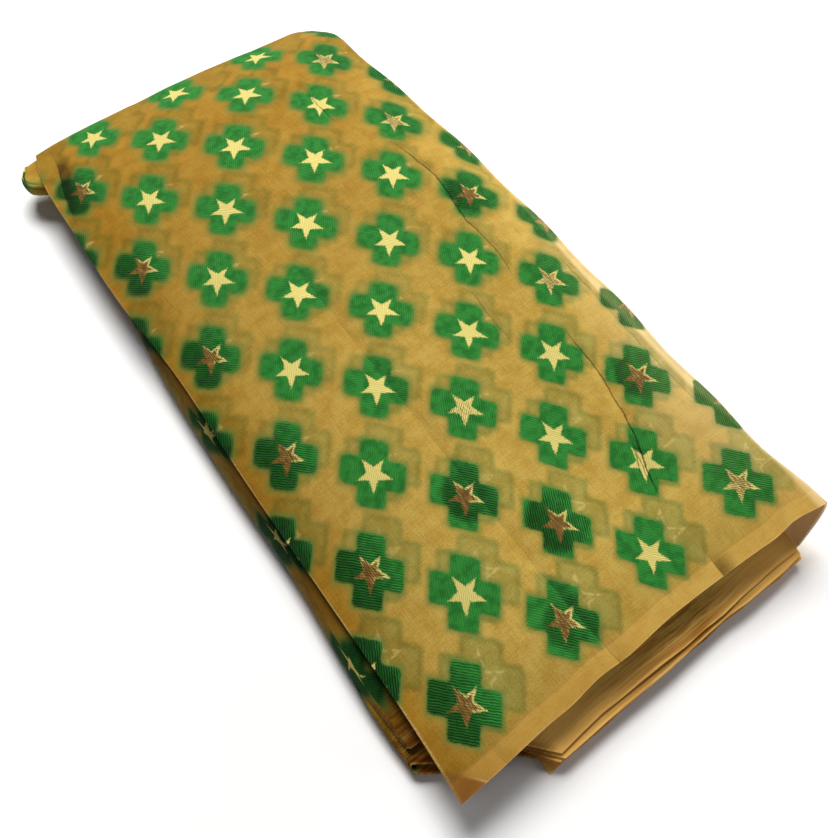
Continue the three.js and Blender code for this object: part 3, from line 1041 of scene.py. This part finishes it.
def green_thread(n):
    """The ribbed green of the crosses, with painted shade and deeper ribs where the gold is turned from the
    light, and painted shade on the lower panels and near the left cut edge.
    """
    pale = n.ramp(n.noise(n.place, 0.16, 3.0), 0.6, 0.35)
    colour = n.darken(n.settings.cross, pale, "uneven green")
    # the woven ribs' dark lines, deeper where the painted glow is low: painted shade
    rib_depth = n.mix(n.ramp(n.glow, 0.15, 0.8), 1.0, 0.35)
    rib_shade = n.times(n.minus(1.0, n.own["Rib"]), rib_depth)
    colour = n.blend(rib_shade, colour, n.settings.cross_shade)
    # painted shade where the gold is turned from the light, towards the left of each cross
    dull = n.times(n.ramp(n.glow, 0.6, 0.0), n.ramp(n.own["Side"], 1.2, -0.8))
    colour = n.darken(colour, dull, "shaded green")
    # painted shade on the lower panels and near the left cut edge
    return n.darken(colour, n.largest(n.ramp(n.x, -14.0, -26.0), n.lower), "green in shade below")


def gold_thread(n):
    """The stars' gold thread: the lit and the shaded thread mixed by the painted glow, with painted glints
    and a painted highlight along one side of each star.
    """
    glint = n.stretched_noise(1.5, 0.16, 3.0, 0.6)
    thread = n.own["Thread"]
    rim = n.ramp(n.plus(n.times(n.own["Side"], 0.35), glint), 0.5, 0.62)
    rim = n.times(rim, n.ramp(n.star_edge, -1.5, -0.7))
    lit = n.plus(n.times(glint, 0.9), n.times(thread, 0.22))
    lit = n.ramp(n.plus(n.minus(lit, 0.6), n.glow), 0.25, 0.6)
    bright = n.darken(n.settings.star, n.ramp(thread, 0.6, 0.1), "bright gold")
    dull = n.darken(n.settings.star_shade, n.ramp(glint, 0.6, 0.4), "dull gold")
    return n.blend(n.largest(lit, rim), dull, bright)


def right_side(n, ground):
    colour = n.paint(ply_below(n, ground), n.times(n.halo, 0.84), "halo")
    colour = n.blend(n.cross, colour, green_thread(n))
    return n.blend(n.star, colour, gold_thread(n))


def wrong_side(n, ground):
    """The wrong side shows the crosses paler, with a few gold threads."""
    colour = n.paint(ground, n.times(n.cross, 0.75), "wrong side")
    threads = n.times(n.ramp(n.own["Thread"], 0.55, 0.9), n.star)
    return n.blend(threads, colour, n.settings.star)


def creases(n, colour):
    """Thin lines of painted shade along the creases, wandering a little, and painted shade on one side of a
    pressed fold.
    """
    kinks = n.math("MULTIPLY_ADD", n.noise(n.place, 0.11, 4.0, 0.7), 4.0, -2.0)
    off_line = n.either_way(n.plus(n.from_crease, kinks))
    line = n.times(n.crease, n.ramp(off_line, n.mix(n.crease, 0.5, 1.0), 0.12), 0.8)
    colour = n.darken(colour, line, "crease")
    on_ground = n.math("MULTIPLY_ADD", n.largest(n.minus(n.pressed, 1.0), 0.0), 2.2, 0.13)
    strength = n.mix(n.cross, on_ground, n.mix(on_ground, 0.5, 0.9))
    beside = n.times(n.ramp(n.from_crease, 15.0, 0.5), n.ramp(n.from_crease, -0.6, 0.4))
    return n.darken(colour, n.times(beside, n.pressed, strength), "pressed fold")


def painted_light_and_shade(n, colour):
    """Painted light through the cloth below a depth of 0, and painted shade between the panels above 1."""
    light = n.blend(n.largest(n.lower, n.is_inner), PAINTS["lit rim"], PAINTS["lit mouth"])
    sheer_part = n.mix(n.cross, 1.0, 0.15)
    colour = n.blend(n.times(n.depth, -0.6, sheer_part), colour, light)
    colour = n.darken(colour, n.minus(n.depth, 1.0), "deep")
    return n.darken(colour, n.minus(n.depth, 2.0), "deepest")


def closeness(n):
    """The ground is sheer on the top panel, and the woven figures and edges are close."""
    sheer = n.mix(n.ramp(n.margin, 60.0, 15.0), n.mix(n.is_inner, 0.85, 1.0), 0.68)
    sheer = n.mix(n.lower, sheer, 1.0)
    close = n.largest(n.cross, n.star, n.times(n.selvedge, 0.5), n.times(n.halo, 0.8))
    return n.mix(close, sheer, 1.0)


def relief(n):
    height = n.plus(n.times(n.plus(n.own["Rib"], 1.0), n.cross), n.times(n.grain, 0.6))
    return n.add("ShaderNodeBump", {"Height": height, "Strength": 0.35, "Distance": 0.0003}).outputs[0]


def cloth_material(settings):
    material = bpy.data.materials.new("sheer jacquard")
    material.use_nodes = True
    material.node_tree.nodes.clear()
    n = ClothNodes(material.node_tree, settings)
    ground = turned_corner(n, lit_and_shaded_edges(n, sheer_ground(n)))
    wrong_way = n.add("ShaderNodeNewGeometry").outputs["Backfacing"]
    woven = n.blend(wrong_way, right_side(n, ground), wrong_side(n, ground))
    surface = n.add(
        "ShaderNodeBsdfPrincipled",
        {
            "Base Color": painted_light_and_shade(n, creases(n, woven)),
            "Roughness": n.mix(n.star, 0.8, 0.6),
            "Metallic": n.times(n.star, n.glow, 0.1),
            "Specular IOR Level": 0.1,
            "Sheen Weight": 0.05,
            "Sheen Roughness": 0.35,
            "Sheen Tint": (1.0, 0.95, 0.82, 1),
            "Alpha": closeness(n),
            "Normal": relief(n),
        },
    )
    n.add("ShaderNodeOutputMaterial", {"Surface": surface.outputs[0]})
    return material


class CLOTHPACKET_OT_cloth(bpy.types.Operator):
    """Folds the sheer cloth, both plies and all panels, and weaves its pattern"""

    bl_idname = "cloth_packet.cloth"
    bl_label = "Folded cloth"

    def add_flat_map(self, mesh, columns, rows, run):
        """The cloth laid out flat: its length across the map and both plies along it."""
        corner_vertex = np.zeros(len(mesh.loops), np.int32)
        mesh.loops.foreach_get("vertex_index", corner_vertex)
        across = np.broadcast_to((run / run[-1])[:, None], (columns, rows)).ravel()
        along = np.broadcast_to(np.linspace(0, 1, rows)[None, :], (columns, rows)).ravel()
        flat = mesh.uv_layers.new(name="OFBake")
        flat.data.foreach_set("uv", np.stack([across, along], axis=-1)[corner_vertex].ravel())

    def execute(self, context):
        points, state, run = cloth_grid()
        columns, rows = points.shape[:2]
        points = points.reshape(-1, 3) - (*PACKET_MIDDLE, 0)
        cloth = mesh_object("jacquard_cloth", points * MM, grid_faces(columns, rows))
        mesh = cloth.data
        shows = ghost_strength(state)
        # the depth of tone, with painted light through the cloth and painted shade between the panels
        depth = tone_light_and_shade(state)
        add_vector_attribute(mesh, "cloth_place", state["across"], state["along"], state["margin"])
        add_vector_attribute(mesh, "cloth_under", state["under_across"], state["under_along"], shows)
        add_vector_attribute(mesh, "cloth_state", state["is_inner"], state["glow"], depth)
        add_vector_attribute(mesh, "cloth_panel", state["panel"], -state["past_edge"], state["packet_y"])
        crease = (state["crease"], state["crease_strength"], state["crease_side"])
        add_vector_attribute(mesh, "cloth_crease", *crease)
        self.add_flat_map(mesh, columns, rows, run)
        mesh.shade_smooth()
        mesh.materials.append(cloth_material(context.scene.cloth_packet))
        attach(cloth, "root")
        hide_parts("folded_cloth")
        return {"FINISHED"}


class CLOTHPACKET_OT_stage(bpy.types.Operator):
    """Sets the pale table, the soft light and the camera"""

    bl_idname = "cloth_packet.stage"
    bl_label = "Table, light and camera"

    def add_table(self, context):
        bpy.ops.object.select_all(action="DESELECT")
        bpy.ops.mesh.primitive_plane_add(size=TABLE_SIZE, location=(0, 0, 0))
        table = context.object
        table.name = "pale_table"
        material = bpy.data.materials.new("pale table")
        material.use_nodes = True
        paint = material.node_tree.nodes["Principled BSDF"]
        paint.inputs["Base Color"].default_value = TABLE_COLOUR
        paint.inputs["Roughness"].default_value = 0.9
        table.data.materials.append(material)

    def add_world(self, scene):
        world = bpy.data.worlds.new("soft room")
        world.use_nodes = True
        background = world.node_tree.nodes["Background"]
        background.inputs["Color"].default_value = ROOM_COLOUR
        background.inputs["Strength"].default_value = ROOM_LIGHT
        scene.world = world

    def add_lamp(self, scene, lamp):
        data = bpy.data.lights.new(lamp.name, "AREA")
        data.energy = lamp.power
        data.shape = "RECTANGLE"
        data.size, data.size_y = lamp.size
        data.color = lamp.colour
        light = bpy.data.objects.new(lamp.name, data)
        scene.collection.objects.link(light)
        light.location = lamp.place
        light.rotation_euler = (-light.location).to_track_quat("-Z", "Y").to_euler()

    def add_camera(self, scene):
        camera = bpy.data.objects.new("camera", bpy.data.cameras.new("camera"))
        scene.collection.objects.link(camera)
        camera.data.sensor_fit = "HORIZONTAL"
        camera.data.lens = CAMERA_LENS
        camera.data.clip_start = 0.01
        camera.location = Vector(CAMERA_PLACE) * MM
        aim = Vector(CAMERA_AIM) * MM - camera.location
        level = aim.to_track_quat("-Z", "Y").to_matrix()
        camera.rotation_euler = (level @ Matrix.Rotation(math.radians(CAMERA_ROLL), 3, "Z")).to_euler()
        scene.camera = camera

    def execute(self, context):
        scene = context.scene
        self.add_table(context)
        self.add_world(scene)
        for lamp in LAMPS:
            self.add_lamp(scene, lamp)
        self.add_camera(scene)
        scene.view_settings.view_transform = "Standard"
        scene.view_settings.look = "None"
        return {"FINISHED"}


class CLOTHPACKET_PT_panel(bpy.types.Panel):
    """Lists the packet's pieces"""

    bl_idname = "CLOTHPACKET_PT_panel"
    bl_label = "Cloth packet"
    bl_space_type = "VIEW_3D"
    bl_region_type = "UI"
    bl_category = "Cloth packet"

    def draw(self, context):
        for name in ClothPacketSettings.__annotations__:
            self.layout.prop(context.scene.cloth_packet, name)
        for operator in OPERATORS:
            self.layout.operator(operator.bl_idname)


OPERATORS = (CLOTHPACKET_OT_cloth, CLOTHPACKET_OT_stage)
CLASSES = (ClothPacketSettings, *OPERATORS, CLOTHPACKET_PT_panel)


def register():
    for each in CLASSES:
        bpy.utils.register_class(each)
    bpy.types.Scene.cloth_packet = bpy.props.PointerProperty(type=ClothPacketSettings)


def unregister():
    del bpy.types.Scene.cloth_packet
    for each in reversed(CLASSES):
        bpy.utils.unregister_class(each)


def main():
    register()
    bpy.ops.cloth_packet.cloth()
    bpy.ops.cloth_packet.stage()


if __name__ == "__main__":
    main()
